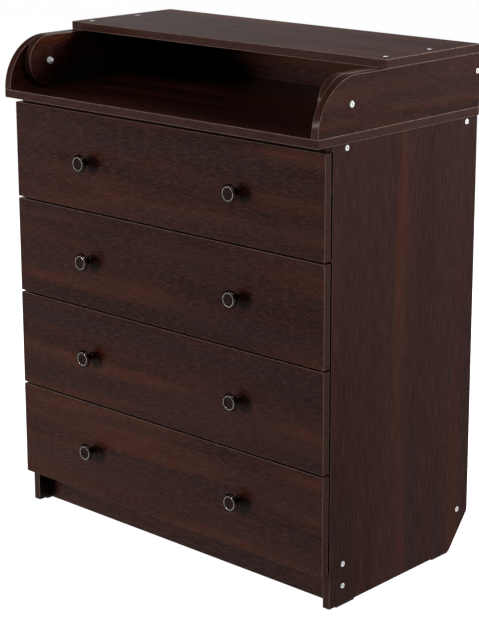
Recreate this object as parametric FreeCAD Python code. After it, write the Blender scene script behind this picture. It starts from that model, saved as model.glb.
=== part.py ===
import FreeCAD, Part
import math
import os

# A changing dresser: a chipboard carcass with four drawers, a changing tray on top of it,
# and a lid over the tray that flips forward on two pivots to lengthen the changing surface.
# Millimetres. X runs left to right, Y front to back, Z up. The origin is on the floor, at
# the middle of the overall width and depth.

V = FreeCAD.Vector

# ---------------------------------------------------------------- stock and fits
BOARD = 16.0                 # laminated chipboard: every visible board and the drawer boxes
FIBREBOARD = 3.0             # back panel and drawer bottoms
EDGE_ROUND = 0.8             # easing of the banded edges
HOLE_CLEARANCE = 0.1         # a screw hole is this much larger in radius than its screw
RUNNING_FIT = 0.08           # radial play of a roller or a board that turns on its pin
PLAY = 0.3                   # gap between pieces that move past each other
GROOVE_PLAY = 0.3            # a groove is this much higher than the sheet it holds

# ---------------------------------------------------------------- carcass
BODY_WIDTH = 800.0           # over the side panels
BODY_DEPTH = 415.0           # side panels with the back panel behind them
SIDE_HEIGHT = 846.0
SKIRTING_DEPTH = 55.0        # slanted cut that clears a skirting board, measured along Y
SKIRTING_HEIGHT = 67.0       # and up the rear edge
PLINTH_HEIGHT = 112.0
PLINTH_SETBACK = 29.0        # from the side panels' front edges
RAIL_WIDTH = 64.0            # two rails under the deck and one at the lower rear
RAIL_SETBACK = 5.0           # front rail, from the side panels' front edges
LOWER_RAIL_HEIGHT = 71.0     # lower rear rail's underside, above the side panels' bottoms
BACK_INSET = 2.0             # back panel, inside the outline of the side panels
GLIDE_THICKNESS = 4.0        # plastic strips under the side panels
GLIDE_LENGTH = 50.0
GLIDE_WIDTH = 12.0
GLIDE_SETBACK = 22.0         # front glides, from the side panels' front edges
GLIDE_STUD_RADIUS = 1.5      # moulded studs that hold a glide in its panel
GLIDE_STUD_LENGTH = 10.0
GLIDE_STUD_INSET = 10.0      # from a glide's ends

# ---------------------------------------------------------------- changing tray and lid
DECK_SIDE_OVERHANG = 2.0     # beyond each side panel
DECK_OVERHANG = 42.0         # in front of the side panels
TRAY_HEIGHT = 100.0          # tray boards and lid boards are cut from one strip
PIVOT_SETBACK = 87.0         # from the deck's front edge
LID_GAP = 5.0                # between the deck and the lid when the lid is flipped forward
LID_BOARD_GAP = 2.0          # between a tray side and the lid board beside it
SWING_CLEARANCE = 3.0        # lid boards past the tray back while the lid turns

# ---------------------------------------------------------------- drawers
DRAWER_COUNT = 4
FRONT_SIDE_INSET = 1.5       # a front's ends, inside the outer faces of the side panels
FRONT_STANDOFF = 3.0         # a front's back, ahead of the side panels' front edges
FRONT_GAP = 4.0              # between one front and the next
FRONT_TOP_GAP = 11.0         # between the top front and the deck
FRONT_LIFT = 67.0            # lowest front, above the side panels' bottoms
PLINTH_CLEARANCE = 6.0       # lowest drawer box above the plinth
BOX_TOP_DROP = 18.0          # a box's top edge, below the top edge of its front
BOX_LENGTH = 350.0           # front's back face to the rear of the box
GROOVE_DEPTH = 8.0           # grooves that hold the drawer bottom
GROOVE_LIFT = 8.0            # above the lower edge of the box

# ---------------------------------------------------------------- roller runners
RUNNER_SPACE = 12.5          # between a drawer box and the side panel
RUNNER_SHEET = 1.2
RUNNER_SETBACK = 2.0         # cabinet runner, from the side panels' front edges
ROLLER_RADIUS = 6.5
ROLLER_WIDTH = 6.0
ROLLER_INSET = 4.0           # roller's outer end, from the side panel
ROLLER_LIFT = 8.0            # rear roller's axis, above the box's lower edge
ROLLER_END = 10.0            # a roller's axis, from the end of its runner
ROLLER_END_PLAY = 0.2        # between a roller and the head of its pin
PIN_RADIUS = 2.5
PIN_HEAD_RADIUS = 3.5
PIN_HEAD_THICKNESS = 0.6
CHANNEL_FLANGE = 10.5        # width of the cabinet runner's two flanges
CHANNEL_MOUTH = 14.0         # upper flange is cut away this far behind the front roller
TRACK_LIFT = 0.6             # drawer runner's track, above the cabinet runner
TRACK_INSET = 3.0            # track's outer edge, from the side panel
RUNNER_FOOT = 13.5           # drawer runner's foot under the box side
FOOT_SCREW_INSET = 5.0       # screws up through the foot, from the box's outer face
RUNNER_SCREW_SETBACKS = (45.0, 170.0, 300.0)

# ---------------------------------------------------------------- knobs
KNOB_SPACING = 390.0         # between the two knobs of a front
KNOB_REACH = 25.0
KNOB_RADIUS = 17.5
KNOB_BASE_RADIUS = 9.0
KNOB_BASE_THICKNESS = 2.0
KNOB_NECK_RADIUS = 6.5
KNOB_NECK_LENGTH = 8.0       # base to the start of the flare
KNOB_RIM_SETBACK = 4.5       # widest circle, behind the face
KNOB_RIM_THICKNESS = 1.6
KNOB_RING_RADIUS = 14.75     # polished ring on the face, outer edge
KNOB_RING_WIDTH = 2.6
KNOB_DISH = 1.0              # middle of the face, below the ring

# ---------------------------------------------------------------- fasteners
CONFIRMAT_LENGTH = 50.0
CONFIRMAT_HEAD_RADIUS = 5.0
CONFIRMAT_HEAD_DEPTH = 2.8
CONFIRMAT_SHANK_RADIUS = 3.5
CONFIRMAT_SHANK_LENGTH = 14.0
CONFIRMAT_THREAD_RADIUS = 3.1
CONFIRMAT_TIP_RADIUS = 1.5
CONFIRMAT_SOCKET = 4.0       # hexagon, across flats
CONFIRMAT_SOCKET_DEPTH = 2.4
SCREW_RADIUS = 1.75          # countersunk wood screws
SCREW_HEAD_RADIUS = 3.5
SCREW_HEAD_DEPTH = 1.6
SCREW_TIP_RADIUS = 0.5
SCREW_TAPER = 3.0            # length of every screw's tapered end
SHORT_SCREW = 14.0
RAIL_SCREW = 28.0
KNOB_SCREW_RADIUS = 2.0
KNOB_SCREW_HEAD_RADIUS = 4.0
KNOB_SCREW_HEAD_THICKNESS = 2.2
KNOB_SCREW_BITE = 9.0        # length inside the knob
PIVOT_RADIUS = 3.0
PIVOT_HEAD_RADIUS = 6.0
PIVOT_HEAD_THICKNESS = 1.8
WASHER_RADIUS = 7.0
WASHER_THICKNESS = 1.6
NUT_ACROSS_FLATS = 10.0
NUT_THICKNESS = 5.0
NUT_DOME_RADIUS = 4.0
CAM_RADIUS = 7.5             # cam fittings that hold each front on its box
CAM_DEPTH = 12.5
CAM_SETBACK = 34.0           # from the front's back face
CAM_BOLT_RADIUS = 3.0
CAM_BOLT_BITE = 11.0         # length inside the front

# Places of the carcass screws, from the side panels' front edges or bottoms.
SIDE_SCREW_Y = PLINTH_SETBACK + BOARD / 2
PLINTH_SCREW_INSET = 35.0    # from the plinth's upper and lower edges
BACK_SCREW_COLUMNS = 5       # screws down each side of the back panel
BACK_SCREW_ROWS = 4          # and between them along each rear rail
BACK_SCREW_INSET = 40.0      # from the back panel's upper and lower edges
RAIL_SCREW_SPACING = 300.0
TRAY_SCREW_SETBACKS = (30.0, 230.0, 400.0)   # from the deck's front edge
TRAY_BACK_SCREW_SPACING = 250.0
TRAY_BACK_SCREW_DROP = 33.0  # screw through a tray side into the tray back, from the top
LID_SCREW_SETBACKS = (31.0, 156.0)           # from the lid's front edge
BOX_SCREW_INSET = 30.0       # from a drawer box's upper and lower edges

# ---------------------------------------------------------------- worked-out places
front_reach = max(DECK_OVERHANG, FRONT_STANDOFF + BOARD + KNOB_REACH)
rear_y = (front_reach + BODY_DEPTH) / 2
carcass_y = rear_y - BODY_DEPTH
panel_rear_y = rear_y - FIBREBOARD
front_back_y = carcass_y - FRONT_STANDOFF
front_face_y = front_back_y - BOARD
deck_front_y = carcass_y - DECK_OVERHANG

side_x = BODY_WIDTH / 2
inner_x = side_x - BOARD
box_x = inner_x - RUNNER_SPACE
box_inner_x = box_x - BOARD
deck_x = side_x + DECK_SIDE_OVERHANG
lid_board_x = deck_x - BOARD - LID_BOARD_GAP

panel_z = GLIDE_THICKNESS
deck_z = panel_z + SIDE_HEIGHT
tray_z = deck_z + BOARD
tray_top_z = tray_z + TRAY_HEIGHT
lid_z = tray_top_z + PLAY
plinth_top_z = panel_z + PLINTH_HEIGHT
lower_rail_z = panel_z + LOWER_RAIL_HEIGHT
top_rail_z = deck_z - BOARD

pivot_y = deck_front_y + PIVOT_SETBACK
pivot_z = tray_z + PLAY + TRAY_HEIGHT / 2
lid_front_y = pivot_y + PIVOT_SETBACK + LID_GAP
swing_radius = rear_y - BOARD - SWING_CLEARANCE - pivot_y
lid_board_rear_y = pivot_y + math.sqrt(swing_radius ** 2 - (TRAY_HEIGHT / 2) ** 2)

lowest_front_z = panel_z + FRONT_LIFT
fronts_height = deck_z - FRONT_TOP_GAP - lowest_front_z
front_height = (fronts_height - FRONT_GAP * (DRAWER_COUNT - 1)) / DRAWER_COUNT
box_lift = plinth_top_z + PLINTH_CLEARANCE - lowest_front_z
box_height = front_height - box_lift - BOX_TOP_DROP
box_rear_y = front_back_y + BOX_LENGTH
runner_front_y = carcass_y + RUNNER_SETBACK

# Runner section, as heights above the lower edge of the drawer box.
channel_top = ROLLER_LIFT + ROLLER_RADIUS + PLAY + RUNNER_SHEET
channel_bottom = ROLLER_LIFT - ROLLER_RADIUS - PLAY - RUNNER_SHEET
track_bottom = channel_top + TRACK_LIFT
front_roller_lift = track_bottom - PLAY - ROLLER_RADIUS
web_x = box_x + RUNNER_SHEET

RIGHT = 1
LEFT = -1
SIDES = {"left": LEFT, "right": RIGHT}
HEXAGON_SIDES = 6

pieces = {}                  # node name: its solids
cutters = {}                 # node name: the holes and grooves cut in them


def add(node, *solids):
    """Put solids in a node."""
    pieces.setdefault(node, []).extend(solids)


def cut(tool, *nodes):
    """Take a hole or groove out of each named node."""
    for node in nodes:
        cutters.setdefault(node, []).append(tool)


def on_side(shape, side):
    """A shape drawn on the right, or its mirror image on the left."""
    if side == RIGHT:
        return shape
    return shape.mirror(V(0, 0, 0), V(1, 0, 0))


def block(x0, x1, y0, y1, z0, z1):
    """A plain block between two corners."""
    return Part.makeBox(x1 - x0, y1 - y0, z1 - z0, V(x0, y0, z0))


def eased(solid):
    """A board with every edge rounded as its edge banding is."""
    return solid.makeFillet(EDGE_ROUND, solid.Edges)


def board(x0, x1, y0, y1, z0, z1):
    """A rectangular laminated board between two corners."""
    return eased(block(x0, x1, y0, y1, z0, z1))


def shaped_board(edges, x):
    """A board cut to an outline in the plane at x, with its thickness towards the middle."""
    face = Part.Face(Part.Wire(edges))
    return eased(face.extrude(V(-BOARD, 0, 0)))


def revolved(edges, start, direction):
    """A turned body from the closed outline of its half section: X out, Z along the axis."""
    face = Part.Face(Part.Wire(edges))
    solid = face.revolve(V(0, 0, 0), V(0, 0, 1), 360)
    solid.Placement = FreeCAD.Placement(start, FreeCAD.Rotation(V(0, 0, 1), direction))
    return solid


def turned(profile, start, direction):
    """A turned body: (distance from start, radius) pairs, revolved about the direction."""
    outline = [V(0, 0, profile[0][0])]
    outline += [V(radius, 0, along) for along, radius in profile]
    outline += [V(0, 0, profile[-1][0]), outline[0]]
    return revolved(Part.makePolygon(outline).Edges, start, direction)


def flare(start_radius, start_along, end_radius, end_along):
    """An arc of a half section that leaves its start along the axis and bends to its end."""
    width = end_radius - start_radius
    height = end_along - start_along
    bend = (width ** 2 + height ** 2) / (2 * width)
    half_turn = math.atan2(abs(width), height)
    middle = V(start_radius + bend * (1 - math.cos(half_turn)), 0,
               start_along + abs(bend) * math.sin(half_turn))
    start = V(start_radius, 0, start_along)
    end = V(end_radius, 0, end_along)
    return Part.Arc(start, middle, end).toShape()


def hexagon(across_flats, depth, start, direction):
    """A hexagonal prism from start along the direction."""
    corner = across_flats / math.sqrt(3)
    angles = [2 * math.pi * step / HEXAGON_SIDES for step in range(HEXAGON_SIDES + 1)]
    outline = [V(corner * math.cos(a), corner * math.sin(a), 0) for a in angles]
    prism = Part.Face(Part.makePolygon(outline)).extrude(V(0, 0, depth))
    prism.Placement = FreeCAD.Placement(start, FreeCAD.Rotation(V(0, 0, 1), direction))
    return prism


def hole_for(profile, start, direction):
    """The hole of a turned fastener: its own profile, wider by the hole clearance."""
    wide = [(along, radius + HOLE_CLEARANCE) for along, radius in profile]
    mouth = (wide[0][0] - HOLE_CLEARANCE, wide[0][1])
    end = (wide[-1][0] + HOLE_CLEARANCE, wide[-1][1])
    return turned([mouth] + wide + [end], start, direction)


def fasten(group, profile, start, direction, nodes, side=RIGHT):
    """Put a turned fastener in its group and its hole in the boards that it joins."""
    add(group, on_side(turned(profile, start, direction), side))
    cut(on_side(hole_for(profile, start, direction), side), *nodes)


def confirmat(group, start, direction, nodes, side=RIGHT):
    """A confirmat screw: flat head with a hexagon socket, shank, threaded core."""
    profile = [
        (0, CONFIRMAT_HEAD_RADIUS),
        (CONFIRMAT_HEAD_DEPTH, CONFIRMAT_SHANK_RADIUS),
        (CONFIRMAT_SHANK_LENGTH, CONFIRMAT_SHANK_RADIUS),
        (CONFIRMAT_SHANK_LENGTH, CONFIRMAT_THREAD_RADIUS),
        (CONFIRMAT_LENGTH - SCREW_TAPER, CONFIRMAT_THREAD_RADIUS),
        (CONFIRMAT_LENGTH, CONFIRMAT_TIP_RADIUS),
    ]
    socket = hexagon(CONFIRMAT_SOCKET, CONFIRMAT_SOCKET_DEPTH, start, direction)
    add(group, on_side(turned(profile, start, direction).cut(socket), side))
    cut(on_side(hole_for(profile, start, direction), side), *nodes)


def wood_screw(group, length, start, direction, nodes, side=RIGHT):
    """A countersunk wood screw with its head flush."""
    profile = [
        (0, SCREW_HEAD_RADIUS),
        (SCREW_HEAD_DEPTH, SCREW_RADIUS),
        (length - SCREW_TAPER, SCREW_RADIUS),
        (length, SCREW_TIP_RADIUS),
    ]
    fasten(group, profile, start, direction, nodes, side)


# ---------------------------------------------------------------- carcass


def side_panels():
    """Both side panels, with the slanted cut at the lower rear corner."""
    corners = [
        (carcass_y, panel_z),
        (panel_rear_y - SKIRTING_DEPTH, panel_z),
        (panel_rear_y, panel_z + SKIRTING_HEIGHT),
        (panel_rear_y, deck_z),
        (carcass_y, deck_z),
        (carcass_y, panel_z),
    ]
    outline = Part.makePolygon([V(side_x, y, z) for y, z in corners])
    panel = shaped_board(outline.Edges, side_x)
    for name, side in SIDES.items():
        add(f"side_panel_{name}", on_side(panel, side))


def cross_boards():
    """Plinth and the three rails between the side panels, and the back panel."""
    plinth_y = carcass_y + PLINTH_SETBACK
    front_rail_y = carcass_y + RAIL_SETBACK
    rear_rail_y = panel_rear_y - RAIL_WIDTH
    add("plinth_board", board(-inner_x, inner_x, plinth_y, plinth_y + BOARD,
                              panel_z, plinth_top_z))
    add("top_rail_front", board(-inner_x, inner_x, front_rail_y, front_rail_y + RAIL_WIDTH,
                                top_rail_z, deck_z))
    add("top_rail_rear", board(-inner_x, inner_x, rear_rail_y, panel_rear_y,
                               top_rail_z, deck_z))
    add("lower_rear_rail", board(-inner_x, inner_x, rear_rail_y, panel_rear_y,
                                 lower_rail_z, lower_rail_z + BOARD))
    back_x = side_x - BACK_INSET
    add("back_panel", block(-back_x, back_x, panel_rear_y, rear_y,
                            lower_rail_z, deck_z - BACK_INSET))


def carcass_screws():
    """Confirmats through the side panels, and the screws up into the deck."""
    rear_screw_y = panel_rear_y - RAIL_WIDTH / 2
    front_screw_y = carcass_y + SIDE_SCREW_Y
    rail_mid = BOARD / 2
    joints = [
        (front_screw_y, top_rail_z + rail_mid, "top_rail_front"),
        (rear_screw_y, top_rail_z + rail_mid, "top_rail_rear"),
        (rear_screw_y, lower_rail_z + rail_mid, "lower_rear_rail"),
        (front_screw_y, panel_z + PLINTH_SCREW_INSET, "plinth_board"),
        (front_screw_y, plinth_top_z - PLINTH_SCREW_INSET, "plinth_board"),
    ]
    for name, side in SIDES.items():
        for y, z, rail in joints:
            confirmat("carcass_confirmats", V(side_x, y, z), V(-1, 0, 0),
                      (f"side_panel_{name}", rail), side)
    for step in (-1, 0, 1):
        for y, rail in ((front_screw_y, "top_rail_front"), (rear_screw_y, "top_rail_rear")):
            wood_screw("carcass_wood_screws", RAIL_SCREW,
                       V(step * RAIL_SCREW_SPACING, y, top_rail_z), V(0, 0, 1),
                       (rail, "deck_board"))


def back_panel_screws():
    """Short screws round the back panel, into the side panels and the rear rails."""
    low_z = lower_rail_z + BOARD / 2
    high_z = deck_z - BOARD / 2
    edge_x = side_x - BOARD / 2
    for name, side in SIDES.items():
        start_z = low_z + BACK_SCREW_INSET
        step_z = (high_z - BACK_SCREW_INSET - start_z) / (BACK_SCREW_COLUMNS - 1)
        for row in range(BACK_SCREW_COLUMNS):
            wood_screw("carcass_wood_screws", SHORT_SCREW,
                       V(edge_x, rear_y, start_z + row * step_z), V(0, -1, 0),
                       ("back_panel", f"side_panel_{name}"), side)
    step_x = 2 * edge_x / (BACK_SCREW_ROWS + 1)
    for column in range(BACK_SCREW_ROWS):
        x = -edge_x + (column + 1) * step_x
        for z, rail in ((low_z, "lower_rear_rail"), (high_z, "top_rail_rear")):
            wood_screw("carcass_wood_screws", SHORT_SCREW, V(x, rear_y, z), V(0, -1, 0),
                       ("back_panel", rail))


def floor_glides():
    """A front and a rear plastic strip under each side panel, held by two studs each."""
    middle_x = side_x - BOARD / 2
    half = GLIDE_WIDTH / 2
    rear_start_y = panel_rear_y - SKIRTING_DEPTH - EDGE_ROUND - GLIDE_LENGTH
    for name, side in SIDES.items():
        for start_y in (carcass_y + GLIDE_SETBACK, rear_start_y):
            strip = block(middle_x - half, middle_x + half,
                          start_y, start_y + GLIDE_LENGTH, 0, GLIDE_THICKNESS)
            for stud_y in (start_y + GLIDE_STUD_INSET, start_y + GLIDE_LENGTH - GLIDE_STUD_INSET):
                root = V(middle_x, stud_y, GLIDE_THICKNESS / 2)
                stud = [(0, GLIDE_STUD_RADIUS),
                        (GLIDE_STUD_LENGTH + GLIDE_THICKNESS / 2, GLIDE_STUD_RADIUS)]
                strip = strip.fuse(turned(stud, root, V(0, 0, 1)))
                cut(on_side(hole_for(stud, root, V(0, 0, 1)), side), f"side_panel_{name}")
            add("floor_glides", on_side(strip, side))


# ---------------------------------------------------------------- changing tray


def changing_tray():
    """Deck, the two tray sides with their quarter-round noses, and the tray back."""
    add("deck_board", board(-deck_x, deck_x, deck_front_y, rear_y, deck_z, tray_z))
    nose_y = deck_front_y + TRAY_HEIGHT
    slant = TRAY_HEIGHT * math.sqrt(0.5)
    foot = V(deck_x, deck_front_y, tray_z)
    middle = V(deck_x, nose_y - slant, tray_z + slant)
    crest = V(deck_x, nose_y, tray_top_z)
    heel = V(deck_x, rear_y, tray_z)
    shoulder = V(deck_x, rear_y, tray_top_z)
    nose = Part.Arc(foot, middle, crest)
    straight = [(crest, shoulder), (shoulder, heel), (heel, foot)]
    edges = [nose.toShape()] + [Part.LineSegment(a, b).toShape() for a, b in straight]
    tray_side = shaped_board(edges, deck_x)
    for name, side in SIDES.items():
        add(f"tray_side_{name}", on_side(tray_side, side))
    add("tray_back", board(BOARD - deck_x, deck_x - BOARD, rear_y - BOARD, rear_y,
                           tray_z, tray_top_z))


def tray_screws():
    """Confirmats up through the deck, and through the tray sides into the tray back."""
    middle_x = deck_x - BOARD / 2
    back_mid_y = rear_y - BOARD / 2
    for name, side in SIDES.items():
        for setback in TRAY_SCREW_SETBACKS:
            confirmat("carcass_confirmats", V(middle_x, deck_front_y + setback, deck_z),
                      V(0, 0, 1), ("deck_board", f"tray_side_{name}"), side)
        confirmat("carcass_confirmats",
                  V(deck_x, back_mid_y, tray_top_z - TRAY_BACK_SCREW_DROP),
                  V(-1, 0, 0), (f"tray_side_{name}", "tray_back"), side)
    for step in (-1, 0, 1):
        confirmat("carcass_confirmats", V(step * TRAY_BACK_SCREW_SPACING, back_mid_y, deck_z),
                  V(0, 0, 1), ("deck_board", "tray_back"))


# ---------------------------------------------------------------- flip-over lid


def lid():
    """Lid panel and the two boards that carry it, rounded about the pivots."""
    add("lid_panel", board(-deck_x, deck_x, lid_front_y, rear_y, lid_z, lid_z + BOARD))
    radius = TRAY_HEIGHT / 2
    x = lid_board_x
    lower = V(x, pivot_y, pivot_z - radius)
    upper = V(x, pivot_y, pivot_z + radius)
    rear_low = V(x, lid_board_rear_y, pivot_z - radius)
    rear_high = V(x, lid_board_rear_y, pivot_z + radius)
    nose = Part.Arc(upper, V(x, pivot_y - radius, pivot_z), lower)
    straight = [(lower, rear_low), (rear_low, rear_high), (rear_high, upper)]
    edges = [nose.toShape()] + [Part.LineSegment(a, b).toShape() for a, b in straight]
    lid_board = shaped_board(edges, x)
    for name, side in SIDES.items():
        add(f"lid_side_{name}", on_side(lid_board, side))
        for setback in LID_SCREW_SETBACKS:
            confirmat("lid_confirmats",
                      V(x - BOARD / 2, lid_front_y + setback, lid_z + BOARD),
                      V(0, 0, -1), ("lid_panel", f"lid_side_{name}"), side)


def pivots():
    """Each pivot: a bolt through tray side and lid board, washers and a domed nut."""
    inner_face_x = lid_board_x - BOARD
    nut_x = inner_face_x - PLAY - WASHER_THICKNESS
    length = deck_x - nut_x + NUT_THICKNESS
    inward = V(-1, 0, 0)
    head = V(deck_x, pivot_y, pivot_z)
    bolt = [
        (-PIVOT_HEAD_THICKNESS, PIVOT_HEAD_RADIUS - PIVOT_HEAD_THICKNESS / 2),
        (-PIVOT_HEAD_THICKNESS / 2, PIVOT_HEAD_RADIUS),
        (0, PIVOT_HEAD_RADIUS),
        (0, PIVOT_RADIUS),
        (length, PIVOT_RADIUS),
    ]
    bore = PIVOT_RADIUS + RUNNING_FIT
    washer = [(0, WASHER_RADIUS), (WASHER_THICKNESS, WASHER_RADIUS)]
    socket = hexagon(CONFIRMAT_SOCKET, PIVOT_HEAD_THICKNESS,
                     V(deck_x + PIVOT_HEAD_THICKNESS, pivot_y, pivot_z), inward)
    shank_hole = turned([(-BOARD, bore), (length, bore)], head, inward)
    washer_starts = (deck_x - BOARD - (LID_BOARD_GAP - WASHER_THICKNESS) / 2,
                     inner_face_x - PLAY)
    nut_start = V(nut_x, pivot_y, pivot_z)
    nut = hexagon(NUT_ACROSS_FLATS, NUT_THICKNESS, nut_start, inward)
    dome = Part.makeSphere(NUT_DOME_RADIUS, V(nut_x - NUT_THICKNESS, pivot_y, pivot_z))
    nut = nut.fuse(dome).cut(shank_hole)
    for name, side in SIDES.items():
        add("pivot_bolts_and_nuts", on_side(turned(bolt, head, inward).cut(socket), side))
        for start_x in washer_starts:
            ring = turned(washer, V(start_x, pivot_y, pivot_z), inward).cut(shank_hole)
            add("pivot_bolts_and_nuts", on_side(ring, side))
        add("pivot_bolts_and_nuts", on_side(nut, side))
        cut(on_side(shank_hole, side), f"tray_side_{name}", f"lid_side_{name}")


# ---------------------------------------------------------------- drawers and runners


def front_z(number):
    """Lower edge of a drawer front; drawer 1 is the top one."""
    return lowest_front_z + (DRAWER_COUNT - number) * (front_height + FRONT_GAP)


def box_z(number):
    """Lower edge of a drawer box."""
    return front_z(number) + box_lift


def roller(y, z):
    """One nylon roller of a drawer's right-hand runner."""
    start = V(inner_x - ROLLER_INSET, y, z)
    body = [(0, ROLLER_RADIUS), (ROLLER_WIDTH, ROLLER_RADIUS)]
    bore_radius = PIN_RADIUS + RUNNING_FIT
    bore = [(-PLAY, bore_radius), (ROLLER_WIDTH + PLAY, bore_radius)]
    return turned(body, start, V(-1, 0, 0)).cut(turned(bore, start, V(-1, 0, 0)))


def cabinet_runner(number):
    """Right-hand channel on the side panel, open towards the drawer, with its roller pin."""
    base_z = box_z(number)
    rear = runner_front_y + BOX_LENGTH
    axis_y = runner_front_y + ROLLER_END
    flange_x = inner_x - CHANNEL_FLANGE
    low = base_z + channel_bottom
    high = base_z + channel_top
    web = block(inner_x - RUNNER_SHEET, inner_x, runner_front_y, rear, low, high)
    floor = block(flange_x, inner_x, runner_front_y, rear, low, low + RUNNER_SHEET)
    roof = block(flange_x, inner_x, axis_y + CHANNEL_MOUTH, rear, high - RUNNER_SHEET, high)
    reach = ROLLER_INSET + ROLLER_WIDTH + ROLLER_END_PLAY
    pin = [
        (0, PIN_RADIUS),
        (reach, PIN_RADIUS),
        (reach, PIN_HEAD_RADIUS),
        (reach + PIN_HEAD_THICKNESS, PIN_HEAD_RADIUS),
    ]
    pin_body = turned(pin, V(inner_x, axis_y, base_z + front_roller_lift), V(-1, 0, 0))
    return web.multiFuse([floor, roof, pin_body]).removeSplitter()


def drawer_runner(number):
    """Right-hand track on the drawer box: foot, web, track and the rear roller's pin."""
    base_z = box_z(number)
    start = front_back_y + PLAY
    axis_y = box_rear_y - ROLLER_END
    top = base_z + track_bottom + RUNNER_SHEET
    foot = block(box_x - RUNNER_FOOT, web_x, start, box_rear_y, base_z - RUNNER_SHEET, base_z)
    web = block(box_x, web_x, start, box_rear_y, base_z - RUNNER_SHEET, top)
    track = block(box_x, inner_x - TRACK_INSET, start, box_rear_y, top - RUNNER_SHEET, top)
    head_x = inner_x - ROLLER_INSET + ROLLER_END_PLAY
    reach = head_x - box_x
    pin = [
        (0, PIN_RADIUS),
        (reach, PIN_RADIUS),
        (reach, PIN_HEAD_RADIUS),
        (reach + PIN_HEAD_THICKNESS, PIN_HEAD_RADIUS),
    ]
    pin_body = turned(pin, V(box_x, axis_y, base_z + ROLLER_LIFT), V(1, 0, 0))
    return foot.multiFuse([web, track, pin_body]).removeSplitter()


def runners(number):
    """Both runners of a drawer, their rollers and their screws."""
    base_z = box_z(number)
    fixed = cabinet_runner(number)
    moving = drawer_runner(number)
    front_roller = roller(runner_front_y + ROLLER_END, base_z + front_roller_lift)
    rear_roller = roller(box_rear_y - ROLLER_END, base_z + ROLLER_LIFT)
    foot_screw_x = box_x - FOOT_SCREW_INSET
    for name, side in SIDES.items():
        add("cabinet_runners", on_side(fixed, side))
        add(f"drawer_{number}_runners", on_side(moving, side))
        add(f"front_rollers_{number}", on_side(front_roller, side))
        add(f"drawer_{number}_rear_rollers", on_side(rear_roller, side))
        for setback in RUNNER_SCREW_SETBACKS:
            wood_screw("carcass_wood_screws", SHORT_SCREW,
                       V(inner_x - RUNNER_SHEET, carcass_y + setback, base_z + ROLLER_LIFT),
                       V(1, 0, 0), ("cabinet_runners", f"side_panel_{name}"), side)
            wood_screw(f"drawer_{number}_fasteners", SHORT_SCREW,
                       V(foot_screw_x, carcass_y + setback, base_z - RUNNER_SHEET),
                       V(0, 0, 1),
                       (f"drawer_{number}_runners", f"drawer_{number}_side_{name}"), side)


def drawer_boards(number):
    """Front, sides, back and the thin bottom held in their grooves."""
    low = front_z(number)
    base_z = box_z(number)
    top_z = base_z + box_height
    front_x = side_x - FRONT_SIDE_INSET
    back_y = box_rear_y - BOARD
    name = f"drawer_{number}"
    add(f"{name}_front", board(-front_x, front_x, front_face_y, front_back_y,
                               low, low + front_height))
    box_side = board(box_inner_x, box_x, front_back_y, box_rear_y, base_z, top_z)
    add(f"{name}_side_right", box_side)
    add(f"{name}_side_left", on_side(box_side, LEFT))
    add(f"{name}_back", board(-box_inner_x, box_inner_x, back_y, box_rear_y, base_z, top_z))
    sheet_x = box_inner_x + GROOVE_DEPTH
    sheet_z = base_z + GROOVE_LIFT
    sheet_front_y = front_back_y - GROOVE_DEPTH
    sheet_rear_y = back_y + GROOVE_DEPTH
    add(f"{name}_bottom", block(PLAY - sheet_x, sheet_x - PLAY,
                                sheet_front_y + PLAY, sheet_rear_y - PLAY,
                                sheet_z, sheet_z + FIBREBOARD))
    groove = block(-sheet_x, sheet_x, sheet_front_y, sheet_rear_y,
                   sheet_z, sheet_z + FIBREBOARD + GROOVE_PLAY)
    cut(groove, f"{name}_front", f"{name}_side_left", f"{name}_side_right", f"{name}_back")


def box_fasteners(number):
    """Confirmats into the box back, and the cams and bolts that hold the front."""
    group = f"drawer_{number}_fasteners"
    base_z = box_z(number)
    heights = (base_z + BOX_SCREW_INSET, base_z + box_height - BOX_SCREW_INSET)
    cam = [(0, CAM_RADIUS), (CAM_DEPTH, CAM_RADIUS)]
    bolt_length = CAM_SETBACK - CAM_RADIUS - HOLE_CLEARANCE + CAM_BOLT_BITE
    bolt = [(0, CAM_BOLT_RADIUS), (bolt_length, CAM_BOLT_RADIUS)]
    middle_x = box_inner_x + BOARD / 2
    cam_y = front_back_y + CAM_SETBACK
    bolt_start_y = cam_y - CAM_RADIUS - HOLE_CLEARANCE
    for name, side in SIDES.items():
        box_side = f"drawer_{number}_side_{name}"
        for z in heights:
            confirmat(group, V(box_x, box_rear_y - BOARD / 2, z), V(-1, 0, 0),
                      (box_side, f"drawer_{number}_back"), side)
            fasten(group, cam, V(box_inner_x, cam_y, z), V(1, 0, 0), (box_side,), side)
            fasten(group, bolt, V(middle_x, bolt_start_y, z), V(0, -1, 0),
                   (box_side, f"drawer_{number}_front"), side)


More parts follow.
